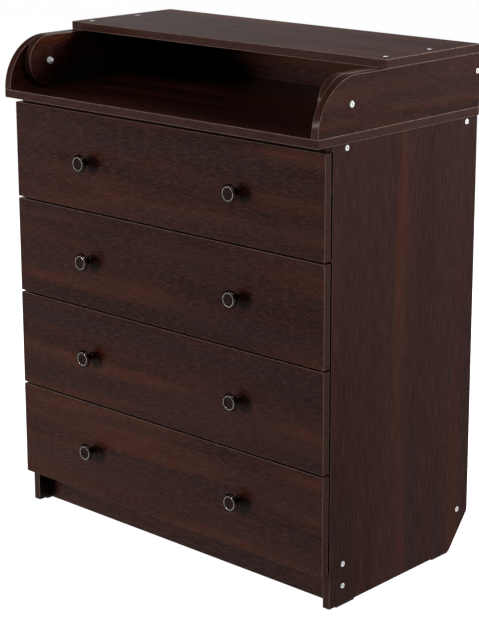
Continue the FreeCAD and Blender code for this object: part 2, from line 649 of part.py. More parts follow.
def knob_solid(x, z):
    """One turned knob: base, slim neck, flared head, and a raised ring on a dished face."""
    rim = KNOB_REACH - KNOB_RIM_SETBACK
    rim_low = rim - KNOB_RIM_THICKNESS
    neck_end = KNOB_BASE_THICKNESS + KNOB_NECK_LENGTH
    ring_inner = KNOB_RING_RADIUS - KNOB_RING_WIDTH
    dish = KNOB_REACH - KNOB_DISH
    base = [(0, dish), (0, 0), (KNOB_BASE_RADIUS, 0), (KNOB_BASE_RADIUS, KNOB_BASE_THICKNESS),
            (KNOB_NECK_RADIUS, KNOB_BASE_THICKNESS), (KNOB_NECK_RADIUS, neck_end)]
    edge = [(KNOB_RADIUS, rim_low), (KNOB_RADIUS, rim)]
    face = [(KNOB_RING_RADIUS, KNOB_REACH), (ring_inner, KNOB_REACH), (ring_inner, dish),
            (0, dish)]
    lines = [Part.makePolygon([V(r, 0, along) for r, along in run]).Edges
             for run in (base, edge, face)]
    head = flare(KNOB_NECK_RADIUS, neck_end, KNOB_RADIUS, rim_low)
    shoulder = flare(KNOB_RADIUS, rim, KNOB_RING_RADIUS, KNOB_REACH)
    edges = lines[0] + [head] + lines[1] + [shoulder] + lines[2]
    return revolved(edges, V(x, front_face_y, z), V(0, -1, 0))


def knobs(number):
    """Two knobs on a front, each held by a screw from inside the drawer."""
    z = front_z(number) + front_height / 2
    node = f"drawer_{number}_knobs"
    screw = [
        (-KNOB_SCREW_HEAD_THICKNESS, KNOB_SCREW_HEAD_RADIUS),
        (0, KNOB_SCREW_HEAD_RADIUS),
        (0, KNOB_SCREW_RADIUS),
        (BOARD + KNOB_SCREW_BITE, KNOB_SCREW_RADIUS),
    ]
    shank = screw[2:]
    for side in SIDES.values():
        x = side * KNOB_SPACING / 2
        start = V(x, front_back_y, z)
        add(node, knob_solid(x, z))
        add(f"drawer_{number}_fasteners", turned(screw, start, V(0, -1, 0)))
        cut(hole_for(shank, start, V(0, -1, 0)), node, f"drawer_{number}_front")


def write_parts():
    """Cut the holes and grooves, and write one STEP file for each node."""
    os.makedirs("parts", exist_ok=True)
    for node, solids in pieces.items():
        tools = cutters.get(node, [])
        finished = [solid.cut(tools) if tools else solid for solid in solids]
        shape = Part.makeCompound(finished) if len(finished) > 1 else finished[0]
        shape.exportStep(f"parts/{node}.step")


side_panels()
cross_boards()
carcass_screws()
back_panel_screws()
floor_glides()
changing_tray()
tray_screws()
lid()
pivots()
for drawer in range(1, DRAWER_COUNT + 1):
    runners(drawer)
    drawer_boards(drawer)
    box_fasteners(drawer)
    knobs(drawer)
write_parts()
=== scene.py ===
# Looks of the changing dresser: a finish for every board, screw and runner, finely turned
# knobs with polished rings, and a pale studio with the camera at the photograph's angle.
# Lengths are in metres, in the row frame, unless a comment says otherwise.
import logging
import math
from dataclasses import dataclass, replace
from enum import Enum
from typing import Any, Union

import bpy
import numpy as np
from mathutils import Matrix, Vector


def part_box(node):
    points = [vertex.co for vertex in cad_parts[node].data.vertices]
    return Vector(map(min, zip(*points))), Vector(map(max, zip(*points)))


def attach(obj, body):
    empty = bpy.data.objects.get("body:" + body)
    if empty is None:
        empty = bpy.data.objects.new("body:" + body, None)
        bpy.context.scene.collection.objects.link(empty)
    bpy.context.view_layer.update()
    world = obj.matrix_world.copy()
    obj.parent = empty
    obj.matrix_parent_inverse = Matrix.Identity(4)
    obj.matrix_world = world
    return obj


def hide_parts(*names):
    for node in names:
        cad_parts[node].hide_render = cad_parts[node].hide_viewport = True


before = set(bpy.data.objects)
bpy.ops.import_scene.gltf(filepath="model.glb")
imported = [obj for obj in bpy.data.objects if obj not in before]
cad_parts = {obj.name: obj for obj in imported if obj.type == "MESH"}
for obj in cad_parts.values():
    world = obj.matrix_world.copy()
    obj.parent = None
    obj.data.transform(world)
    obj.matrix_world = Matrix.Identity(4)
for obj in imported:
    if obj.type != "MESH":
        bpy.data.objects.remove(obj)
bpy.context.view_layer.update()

log = logging.getLogger("dresser")

Colour = tuple[float, float, float]
Point = tuple[float, float, float]
Span = tuple[float, float]
Value = Union["Socket", float]
Tint = Union["Socket", Colour]
Faces = list[list[int]]

WHITE: Colour = (1.0, 1.0, 1.0)
HANDS = {"left": -1.0, "right": 1.0}

# Seeds of the boards, which say where in the endless figure each is cut. Those of the drawer
# fronts, numbered from the top, were chosen for where their light and dark bands lie.
FRONT_SEEDS = {1: 640, 2: 650, 3: 160, 4: 770}
DRAWERS = tuple(FRONT_SEEDS)
CARCASS_SEED = 0
LID_SEED = 21
BOX_SEED = 30
BOX_SEED_STEP = 10


# ------------------------------------------------------------------ shader maths


# Where a Mix node keeps its share, its two colours and the blend of them.
MIX_SHARE, MIX_FIRST, MIX_SECOND, MIX_BLEND = 0, 6, 7, 2


def opaque(colour: Tint) -> Any:
    """A plain colour with its alpha, or the socket as it is."""
    return (*colour, 1.0) if isinstance(colour, tuple) else colour


class Socket:
    """A node's output in shader maths: an expression on it adds its Math nodes."""

    def __init__(self, graph: "Graph", output: bpy.types.NodeSocket) -> None:
        """Wrap one output of a node that stands in the graph."""
        self.graph = graph
        self.output = output

    def maths(self, operation: str, first: Value, second: Value = 0.0) -> "Socket":
        """One Math node on two values or sockets."""
        return self.graph.node("ShaderNodeMath", {"operation": operation}, {0: first, 1: second})

    def __add__(self, other: Value) -> "Socket":
        """self + other."""
        return self.maths("ADD", self, other)

    def __radd__(self, other: Value) -> "Socket":
        """other + self."""
        return self.maths("ADD", other, self)

    def __sub__(self, other: Value) -> "Socket":
        """self - other."""
        return self.maths("SUBTRACT", self, other)

    def __rsub__(self, other: Value) -> "Socket":
        """other - self."""
        return self.maths("SUBTRACT", other, self)

    def __mul__(self, other: Value) -> "Socket":
        """self * other."""
        return self.maths("MULTIPLY", self, other)

    def __rmul__(self, other: Value) -> "Socket":
        """other * self."""
        return self.maths("MULTIPLY", other, self)

    def __abs__(self) -> "Socket":
        """The distance of self from zero."""
        return self.maths("ABSOLUTE", self)

    def rise(self, start: float, end: float) -> "Socket":
        """A smooth step.

        Args:
            start: Value at which the step leaves 0.
            end: Value at which it reaches 1; below start, the step falls.

        Returns:
            0 before start, 1 past end, with a smooth slope between them.
        """
        settings = {"interpolation_type": "SMOOTHSTEP"}
        return self.graph.node("ShaderNodeMapRange", settings, {0: self, 1: start, 2: end})


class Graph:
    """The node tree of a material or of the world."""

    def __init__(self, owner: bpy.types.Material | bpy.types.World) -> None:
        """Start the owner's tree from nothing.

        Args:
            owner: The material or world that the tree belongs to.
        """
        self.owner = owner
        owner.use_nodes = True
        self.tree = owner.node_tree
        self.tree.nodes.clear()

    @classmethod
    def for_material(cls, name: str) -> "Graph":
        """The empty tree of a new material."""
        return cls(bpy.data.materials.new(name))

    def node(self, kind: str, settings: dict[str, Any], inputs: dict[int | str, Any],
             output: int | str = 0) -> Socket:
        """Add a node to the tree.

        Args:
            kind: Blender's name of the node type.
            settings: The node's own settings, set first; "stops" are a colour ramp's.
            inputs: Value or link of each socket, by its place or name.
            output: Which output is wanted.

        Returns:
            That output, ready for shader maths.
        """
        made = self.tree.nodes.new(kind)
        for name, value in settings.items():
            if name == "stops":
                self.set_stops(made.color_ramp, value)
            else:
                setattr(made, name, value)
        for key, value in inputs.items():
            if isinstance(value, Socket):
                self.tree.links.new(value.output, made.inputs[key])
            else:
                made.inputs[key].default_value = value
        return Socket(self, made.outputs[output])

    @staticmethod
    def set_stops(ramp: bpy.types.ColorRamp, stops: list[tuple[float, Colour]]) -> None:
        """Give a colour ramp its stops.

        Args:
            ramp: A new ramp, which has two stops.
            stops: Place and colour of each, two or more, in rising order of place.
        """
        for _ in stops[2:]:
            ramp.elements.new(1.0)
        for element, (place, colour) in zip(ramp.elements, stops):
            element.position = place
            element.color = opaque(colour)

    def coordinates(self) -> Socket:
        """Object coordinates: metres in the row frame, riding with the piece."""
        return self.node("ShaderNodeTexCoord", {}, {}, "Object")

    def noise(self, scale: Point, offset: Point, detail: float, roughness: float,
              warp: float = 0.0) -> Socket:
        """Noise on Object coordinates.

        Args:
            scale: Cells to a metre along X, Y and Z.
            offset: Shift of the pattern, in cells.
            detail: Number of finer layers.
            roughness: Share that each finer layer keeps.
            warp: How far the finished cells are drawn aside.

        Returns:
            A value about 0.5, from 0 to 1.
        """
        place = self.node("ShaderNodeMapping", {}, {
            "Vector": self.coordinates(), "Location": offset, "Scale": scale})
        return self.node("ShaderNodeTexNoise", {}, {
            "Vector": place, "Scale": 1.0, "Detail": detail, "Roughness": roughness,
            "Distortion": warp})

    def mix(self, share: Value, first: Tint, second: Tint) -> Socket:
        """Blend two colours: first where share is 0, second where it is 1."""
        inputs = {MIX_SHARE: share, MIX_FIRST: opaque(first), MIX_SECOND: opaque(second)}
        return self.node("ShaderNodeMix", {"data_type": "RGBA"}, inputs, MIX_BLEND)

    def ramp(self, value: Socket, stops: list[tuple[float, Colour]]) -> Socket:
        """Colour of a value, read from the stops of a ramp."""
        return self.node("ShaderNodeValToRGB", {"stops": stops}, {0: value})

    def finish(self, colour: Tint, roughness: Value, height: Value = 0.0, relief: float = 0.0,
               **constants: Any) -> bpy.types.Material:
        """Close the tree with its shader.

        Args:
            colour: Base colour, plain or a socket.
            roughness: Roughness, plain or a socket.
            height: Surface height, from 0 to 1.
            relief: Metres between height 0 and height 1.
            constants: Plain values of the shader's other sockets, spaces as underscores.

        Returns:
            The finished material.
        """
        inputs: dict[int | str, Any] = {"Base Color": opaque(colour), "Roughness": roughness}
        if relief:
            inputs["Normal"] = self.node("ShaderNodeBump", {}, {
                "Strength": 1.0, "Distance": relief, "Height": height})
        for name, value in constants.items():
            inputs[name.replace("_", " ")] = value
        self.close("ShaderNodeOutputMaterial", self.node("ShaderNodeBsdfPrincipled", {}, inputs))
        return self.owner

    def close(self, kind: str, shader: Socket) -> None:
        """Link a shader to an output node of that type."""
        output = self.tree.nodes.new(kind)
        self.tree.links.new(shader.output, output.inputs["Surface"])


# ------------------------------------------------------------------ patterns


class Axis(Enum):
    """A direction of the row frame."""

    X = 0
    Y = 1
    Z = 2


class Slot(Enum):
    """Material slots of the record."""

    LAMINATE = "wenge_laminate"
    FIBREBOARD = "fibreboard"
    STEEL = "zinc_steel"
    RUNNER = "runner_steel"
    NYLON = "roller_nylon"
    PLASTIC = "glide_plastic"
    BRONZE = "knob_bronze"


class Layer(Enum):
    """A layer of the laminate's figure; its number shifts it against the others."""

    CLOUD = 1
    STREAK = 2
    FIBRE = 3
    PATCH = 4
    PORE = 5
    TIDE = 6


# How far, in cells, one step of seed or layer shifts the figure, and the share of that shift
# along X, Y and Z.
SEED_SHIFT = 17.3
LAYER_SHIFT = 5.1
SHIFT_SHARES = (1.0, 0.7, 1.3)


@dataclass(frozen=True)
class Cut:
    """How a board lies in the laminate: its grain, its thickness and its place in the figure."""

    grain: Axis
    thickness: Axis
    seed: int


@dataclass(frozen=True)
class Mottle:
    """Noise that is alike in all directions; cells are counted to a metre."""

    cells: float
    shift: Point
    detail: float
    roughness: float

    def on(self, graph: Graph) -> Socket:
        """The noise as a socket of the graph, a value about 0.5."""
        return graph.noise((self.cells,) * 3, self.shift, self.detail, self.roughness)


@dataclass(frozen=True)
class Streaks:
    """Noise drawn out along the grain, by the length and width of a streak."""

    length: float
    width: float
    detail: float
    roughness: float
    warp: float = 0.0

    def on(self, graph: Graph, cut: Cut, layer: Layer) -> Socket:
        """The noise of one layer on one board.

        A metre holds 1 / length cells along the grain and 1 / width across it. The pattern is
        shifted by the seed and the layer's number, each times its own step.

        Args:
            graph: Tree that the nodes go into.
            cut: How the board is cut.
            layer: Layer of the figure.

        Returns:
            A value about 0.5, from 0 to 1.
        """
        scale = [1.0 / self.width] * 3
        scale[cut.grain.value] = 1.0 / self.length
        shift = SEED_SHIFT * cut.seed + LAYER_SHIFT * layer.value
        offset = tuple(share * shift for share in SHIFT_SHARES)
        return graph.noise(tuple(scale), offset, self.detail, self.roughness, self.warp)


# ------------------------------------------------------------------ finishes


@dataclass(frozen=True)
class Laminate:
    """Wenge-effect laminate on both faces of a board, and a band of it on the edges.

    The figure is the sum of slow tides, clouds and streaks, drawn out along the grain. It
    picks the colour on a ramp from nearly black to reddish brown; a slow patchwork turns some
    of it greyer. Fibres are fine light dashes, pores dark ones pressed in. The band on the
    edges has finer streaks and no pores. Its rounded arris carries a painted highlight: a
    lighter colour that stands in for the light the edge catches.
    """

    # Layers of the figure; the grey patches are as large as the tides.
    tide: Streaks = Streaks(0.700, 0.055, 1.0, 0.5, 0.6)
    cloud: Streaks = Streaks(0.260, 0.022, 2.0, 0.5, 0.4)
    streak: Streaks = Streaks(0.090, 0.007, 2.0, 0.5, 0.2)
    fibre: Streaks = Streaks(0.018, 0.0020, 3.0, 0.65)
    pore: Streaks = Streaks(0.0080, 0.0006, 1.0, 0.5)

    # Shares of tide, cloud and streak in the figure, and the ramp that it is read on.
    shares: tuple[float, float, float] = (0.68, 0.23, 0.09)
    stops: tuple[float, float, float] = (0.41, 0.50, 0.60)
    dark: Colour = (0.0085, 0.0012, 0.0004)
    middle: Colour = (0.0175, 0.0027, 0.0007)
    light: Colour = (0.0300, 0.0070, 0.0026)

    # Patches, fibres and pores: where in their noise they rise, how much they cover, colour.
    patch_rise: Span = (0.43, 0.58)
    patch_share: float = 0.65
    patch_grey: Colour = (0.0120, 0.0036, 0.0034)
    fibre_rise: Span = (0.46, 0.66)
    fibre_share: float = 0.5
    fibre_light: Colour = (0.0470, 0.0205, 0.0160)
    pore_rise: Span = (0.58, 0.68)
    pore_share: float = 0.6
    pore_dark: Colour = (0.0045, 0.0012, 0.0008)

    # Band on the edges: depths under a face at which it begins and is whole, and its streaks.
    band_depth: Span = (0.0003, 0.0009)
    band_rise: Span = (0.35, 0.65)
    band_dark: Colour = (0.0150, 0.0044, 0.0026)
    band_light: Colour = (0.0260, 0.0095, 0.0068)

    # Painted highlight on the arris: depths between which it comes and goes, and its cover, more
    # on the fibres.
    arris_inner: Span = (0.0012, 0.0007)
    arris_outer: Span = (0.0, 0.0001)
    arris_share: float = 0.35
    arris_fibre_share: float = 0.9
    # Colour of the painted highlight on the arris.
    arris_highlight: Colour = (0.1300, 0.0870, 0.0740)

    # Roughness, with what fibres, pores and arris add to it and the band takes from it.
    gloss: float = 0.21
    fibre_roughness: float = 0.16
    pore_roughness: float = 0.12
    band_polish: float = 0.06
    arris_roughness: float = 0.25
    specular: float = 0.16

    # Height of the fibres and depth of the pores, as shares of the relief.
    fibre_height: float = 0.5
    pore_depth: float = 0.8
    relief: float = 0.00006

    @staticmethod
    def depth_under_face(graph: Graph, cut: Cut, low: Vector, high: Vector) -> Socket:
        """Depth under the nearer face of a board.

        It is half the board's thickness less the distance from its middle plane.

        Args:
            graph: Tree that the nodes go into.
            cut: How the board is cut.
            low: The board's lowest corner.
            high: Its highest corner.

        Returns:
            The depth, 0 on both faces.
        """
        axis = cut.thickness.value
        place = graph.node("ShaderNodeSeparateXYZ", {}, {0: graph.coordinates()}, axis)
        half = (high[axis] - low[axis]) / 2
        return half - abs(place - (high[axis] + low[axis]) / 2)

    def face_colour(self, graph: Graph, cut: Cut, fibre: Socket, pores: Socket) -> Socket:
        """Colour of the two faces.

        Args:
            graph: Tree that the nodes go into.
            cut: How the board is cut.
            fibre: Noise of the fibres.
            pores: Cover of the pores, from 0 to 1.

        Returns:
            The ramp's colour of the figure, with patches, fibres and pores laid over it.
        """
        tide = self.tide.on(graph, cut, Layer.TIDE) * self.shares[0]
        cloud = self.cloud.on(graph, cut, Layer.CLOUD) * self.shares[1]
        streak = self.streak.on(graph, cut, Layer.STREAK) * self.shares[2]
        patch = self.tide.on(graph, cut, Layer.PATCH).rise(*self.patch_rise)
        colours = (self.dark, self.middle, self.light)
        wood = graph.ramp(tide + cloud + streak, list(zip(self.stops, colours)))
        wood = graph.mix(patch * self.patch_share, wood, self.patch_grey)
        wood = graph.mix(fibre.rise(*self.fibre_rise) * self.fibre_share, wood, self.fibre_light)
        return graph.mix(pores * self.pore_share, wood, self.pore_dark)

    def material(self, name: str, cut: Cut, low: Vector, high: Vector) -> bpy.types.Material:
        """The finish of one board.

        Args:
            name: The material's name.
            cut: How the board is cut.
            low: The board's lowest corner.
            high: Its highest corner.

        Returns:
            The finished material, with the faces' colour where the band ends.
        """
        graph = Graph.for_material(name)
        fibre = self.fibre.on(graph, cut, Layer.FIBRE)
        pores = self.pore.on(graph, cut, Layer.PORE).rise(*self.pore_rise)
        depth = self.depth_under_face(graph, cut, low, high)
        band = depth.rise(*self.band_depth)
        arris = depth.rise(*self.arris_inner) * depth.rise(*self.arris_outer)
        edge = graph.mix(fibre.rise(*self.band_rise), self.band_dark, self.band_light)
        colour = graph.mix(band, self.face_colour(graph, cut, fibre, pores), edge)
        # Painted highlight: a lighter colour on the rounded arris stands in for the light that
        # edge catches.
        painted_highlight = arris * (fibre * self.arris_fibre_share + self.arris_share)
        colour = graph.mix(painted_highlight, colour, self.arris_highlight)
        roughness = (self.gloss + fibre * self.fibre_roughness + pores * self.pore_roughness
                     - band * self.band_polish + arris * self.arris_roughness)
        height = fibre * self.fibre_height - (1.0 - band) * pores * self.pore_depth
        return graph.finish(colour, roughness, height, self.relief,
                            Specular_IOR_Level=self.specular)


@dataclass(frozen=True)
class Fibreboard:
    """Thin fibreboard with a dark printed face."""

    dark: Colour = (0.020, 0.010, 0.007)
    light: Colour = (0.042, 0.022, 0.015)
    felt: Mottle = Mottle(420.0, (3.0, 1.0, 2.0), 4.0, 0.7)
    cloud: Mottle = Mottle(9.0, (8.0, 4.0, 6.0), 3.0, 0.5)
    felt_share: float = 0.4
    cloud_share: float = 0.6
    roughness: float = 0.5
    felt_roughness: float = 0.2
    relief: float = 0.00005
    specular: float = 0.3

    def material(self, name: str) -> bpy.types.Material:
        """Fine felted fibres, a little lighter and darker, on a matt face.

        Args:
            name: The material's name.

        Returns:
            The finished material.
        """
        graph = Graph.for_material(name)
        felt = self.felt.on(graph)
        tone = self.cloud.on(graph) * self.cloud_share + felt * self.felt_share
        colour = graph.mix(tone, self.dark, self.light)
        return graph.finish(colour, self.roughness + felt * self.felt_roughness, felt,
                            self.relief, Specular_IOR_Level=self.specular)


@dataclass(frozen=True)
class Metal:
    """A bare or lacquered metal with fine scratches."""

    colour: Colour
    tarnish: Colour
    roughness: float
    metallic: float = 1.0
    cloud: Mottle = Mottle(130.0, (2.0, 7.0, 5.0), 3.0, 0.6)
    scratches: Mottle = Mottle(900.0, (4.0, 9.0, 1.0), 2.0, 0.6)
    tarnish_rise: Span = (0.35, 0.70)
    cloud_roughness: float = 0.10
    scratch_roughness: float = 0.06
    relief: float = 0.00001

    def material(self, name: str) -> bpy.types.Material:
        """Two tones of the metal in small clouds, with a roughness that follows them.

        Clouds and scratches are noise about a half, so half of what they add is taken off.

        Args:
            name: The material's name.

        Returns:
            The finished material.
        """
        graph = Graph.for_material(name)
        cloud = self.cloud.on(graph)
        scratches = self.scratches.on(graph)
        colour = graph.mix(cloud.rise(*self.tarnish_rise), self.colour, self.tarnish)
        roughness = (self.roughness + cloud * self.cloud_roughness
                     + scratches * self.scratch_roughness
                     - (self.cloud_roughness + self.scratch_roughness) / 2)
        return graph.finish(colour, roughness, scratches, self.relief, Metallic=self.metallic)


@dataclass(frozen=True)
class Coating:
    """Paint or moulded plastic with a fine grain."""

    colour: Colour
    shade: Colour
    roughness: float
    peel: Mottle
    relief: float
    cloud: Mottle = Mottle(45.0, (1.0, 6.0, 3.0), 3.0, 0.5)
    shade_rise: Span = (0.30, 0.75)
    peel_roughness: float = 0.1

    def material(self, name: str) -> bpy.types.Material:
        """A slightly cloudy colour over a fine orange-peel surface.

        Args:
            name: The material's name.

        Returns:
            The finished material.
        """
        graph = Graph.for_material(name)
        peel = self.peel.on(graph)
        cloud = self.cloud.on(graph).rise(*self.shade_rise)
        colour = graph.mix(cloud, self.colour, self.shade)
        return graph.finish(colour, self.roughness + peel * self.peel_roughness, peel, self.relief)


def orange_peel(cells: float) -> Mottle:
    """The small bumps of a coat or a moulded surface, by their number to a metre."""
    return Mottle(cells, (5.0, 2.0, 8.0), 2.0, 0.5)


# Wenge as on most boards, calmer on the tray sides, whose fibres and pores are fainter, and
# calm with a longer and softer figure on the tall side panels.
WENGE = Laminate()
WENGE_CALM = replace(WENGE, fibre_share=0.35, pore_share=0.25)
WENGE_TALL = replace(
    WENGE_CALM, tide=Streaks(1.5, 0.075, 1.0, 0.5, 0.6), cloud=Streaks(0.8, 0.032, 2.0, 0.5, 0.4),
    streak=Streaks(0.27, 0.012, 2.0, 0.5, 0.2), fibre=Streaks(0.05, 0.003, 3.0, 0.65),
    shares=(0.75, 0.20, 0.05), dark=(0.0115, 0.0020, 0.0008), light=(0.0250, 0.0052, 0.0019))

# Zinc and ring are partly diffuse, so that they stay pale where they mirror nothing bright.
FIBREBOARD = Fibreboard()
ZINC = Metal((0.92, 0.92, 0.93), (0.76, 0.76, 0.77), 0.42, 0.55)
BRONZE = Metal((0.042, 0.026, 0.021), (0.028, 0.016, 0.013), 0.26)
RING = Metal((0.90, 0.86, 0.82), (0.76, 0.72, 0.68), 0.20, 0.70)
EPOXY = Coating((0.70, 0.69, 0.65), (0.63, 0.62, 0.58), 0.38, orange_peel(700.0), 0.00002)
NYLON = Coating((0.78, 0.78, 0.75), (0.70, 0.70, 0.67), 0.42, orange_peel(500.0), 0.00001)
GLIDE = Coating((0.018, 0.014, 0.012), (0.028, 0.022, 0.019), 0.45, orange_peel(900.0), 0.00004)


# ------------------------------------------------------------------ surfaces


# Directions in a half section, in degrees; forward is along the axis, away from the drawer.
OUTWARD = 0.0
FORWARD = 90.0
INWARD = 180.0
BACKWARD = 270.0


def arc(centre: Span, radius: float, start: float, end: float, steps: int) -> np.ndarray:
    """Points of an arc in a half section.

    The angle runs evenly from start to end, and each point is the centre plus the radius
    times the angle's cosine and sine.

    Args:
        centre: Distance from the axis and distance along it.
        radius: The arc's radius.
        start: First angle, in degrees from the outward direction.
        end: Last angle.
        steps: Number of points.

    Returns:
        One row for each point: distance from the axis, distance along it.
    """
    angle = np.radians(np.linspace(start, end, steps))
    return np.column_stack([centre[0] + radius * np.cos(angle),
                            centre[1] + radius * np.sin(angle)])


def sweep(start: Span, end: Span, lean: float, steps: int) -> np.ndarray:
    """Points of a curve that leaves start along the axis and bends outward to end.

    With t from 0 to 1, the distance along the axis grows evenly and the distance from the
    axis grows with t to the power of lean.

    Args:
        start: Distance from the axis and along it, of the first point.
        end: The same of the last point.
        lean: The power; the higher, the later the curve bends outward.
        steps: Number of points.

    Returns:
        One row for each point: distance from the axis, distance along it.
    """
    t = np.linspace(0.0, 1.0, steps)
    return np.column_stack([start[0] + (end[0] - start[0]) * t ** lean,
                            start[1] + (end[1] - start[1]) * t])


def turned(profile: np.ndarray, sectors: int, closed: bool) -> tuple[np.ndarray, Faces]:
    """A profile carried round the axis of a knob, which points along -Y.

    Vertex (i, j) stands at angle a = j of sectors: x is radius i times cos a, z is radius i
    times sin a and y is minus the distance along the axis.

    Args:
        profile: Distance from the axis and along it, one row for each ring.
        sectors: Number of steps round the axis.
        closed: Whether the last ring joins the first, as on a torus. Otherwise a vertex on
            the axis closes each end.

    Returns:
        The vertices, and the faces as lists of vertex numbers, facing outward.
    """
    rings = len(profile)
    angle = 2 * math.pi * np.arange(sectors) / sectors
    radius, along = profile[:, :1], profile[:, 1:]
    vertices = np.stack([radius * np.cos(angle), np.broadcast_to(-along, (rings, sectors)),
                         radius * np.sin(angle)], axis=-1).reshape(-1, 3)
    ring = np.arange(rings if closed else rings - 1)[:, None] * sectors
    next_ring = (ring + sectors) % (rings * sectors)
    column = np.arange(sectors)
    beside = (column + 1) % sectors
    quads = np.stack([ring + column, ring + beside, next_ring + beside, next_ring + column],
                     axis=-1)
    faces = quads.reshape(-1, 4).tolist()
    if not closed:
        poles = np.array([[0.0, -profile[0, 1], 0.0], [0.0, -profile[-1, 1], 0.0]])
        vertices = np.vstack([vertices, poles])
        first_pole = np.full(sectors, rings * sectors)
        last_ring = (rings - 1) * sectors
        faces += np.stack([beside, column, first_pole], axis=-1).tolist()
        faces += np.stack([last_ring + column, last_ring + beside, first_pole + 1],
                          axis=-1).tolist()
    return vertices, faces


def make_piece(name: str, vertices: np.ndarray, faces: Faces, material: bpy.types.Material,
               crease: float = 50.0) -> bpy.types.Object:
    """A mesh object at the origin.

    Args:
        name: The piece's name.
        vertices: Its points in the row frame.
        faces: Its faces as lists of vertex numbers.
        material: Its finish.
        crease: Angle in degrees from which an edge stays sharp.

    Returns:
        The object, linked to the scene.
    """
    mesh = bpy.data.meshes.new(name)
    mesh.from_pydata(vertices, [], faces)
    mesh.polygons.foreach_set("use_smooth", np.ones(len(mesh.polygons), bool))
    mesh.set_sharp_from_angle(angle=math.radians(crease))
    mesh.materials.append(material)
    piece = bpy.data.objects.new(name, mesh)
    bpy.context.scene.collection.objects.link(piece)
    return piece


def dress(node: str, material: bpy.types.Material) -> None:
    """Give a node of the frame its finish.

    Args:
        node: The node's name.
        material: The finish, which replaces what the node came with.
    """
    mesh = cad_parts[node].data
    mesh.materials.clear()
    mesh.materials.append(material)
    log.info("dressed %s in %s", node, material.name)


def laminate(node: str, cut: Cut, finish: Laminate = WENGE) -> None:
    """Dress a board in laminate of its own cut.

    Args:
        node: The board's node.
        cut: How the board is cut.
        finish: Which laminate.
    """
    low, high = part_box(node)
    dress(node, finish.material(node + "_laminate", cut, low, high))


# ------------------------------------------------------------------ sub-assemblies


@dataclass
class Carcass:
    """Side panels, rails, plinth, back, changing tray, screws, pivots and runners."""

    zinc: bpy.types.Material
    epoxy: bpy.types.Material
    nylon: bpy.types.Material

    def dress_boards(self) -> None:
        """Dress each board along its grain and across its thickness."""
        boards = {
            "side_panel_left": (Axis.Z, Axis.X, WENGE_TALL),
            "side_panel_right": (Axis.Z, Axis.X, WENGE_TALL),
            "plinth_board": (Axis.X, Axis.Y, WENGE),
            "top_rail_front": (Axis.X, Axis.Z, WENGE),
            "top_rail_rear": (Axis.X, Axis.Z, WENGE),
            "lower_rear_rail": (Axis.X, Axis.Z, WENGE),
            "deck_board": (Axis.X, Axis.Z, WENGE),
            "tray_side_left": (Axis.Y, Axis.X, WENGE_CALM),
            "tray_side_right": (Axis.Y, Axis.X, WENGE_CALM),
            "tray_back": (Axis.X, Axis.Y, WENGE),
        }
        for seed, (node, (grain, thickness, finish)) in enumerate(boards.items(), CARCASS_SEED):
            laminate(node, Cut(grain, thickness, seed), finish)

    def dress(self) -> None:
        """Give every node of the carcass its finish."""
        self.dress_boards()
        dress("back_panel", FIBREBOARD.material("back_panel_face"))
        dress("floor_glides", GLIDE.material("glide_plastic"))
        for node in ("carcass_confirmats", "carcass_wood_screws", "pivot_bolts_and_nuts"):
            dress(node, self.zinc)
        dress("cabinet_runners", self.epoxy)
        for drawer in DRAWERS:
            dress(f"front_rollers_{drawer}", self.nylon)


@dataclass
class Lid:
    """Lid panel, its two boards and its screws."""

    zinc: bpy.types.Material

    def dress(self) -> None:
        """Give every node of the lid its finish."""
        laminate("lid_panel", Cut(Axis.X, Axis.Z, LID_SEED))
        laminate("lid_side_left", Cut(Axis.Y, Axis.X, LID_SEED + 1))
        laminate("lid_side_right", Cut(Axis.Y, Axis.X, LID_SEED + 2))
        dress("lid_confirmats", self.zinc)


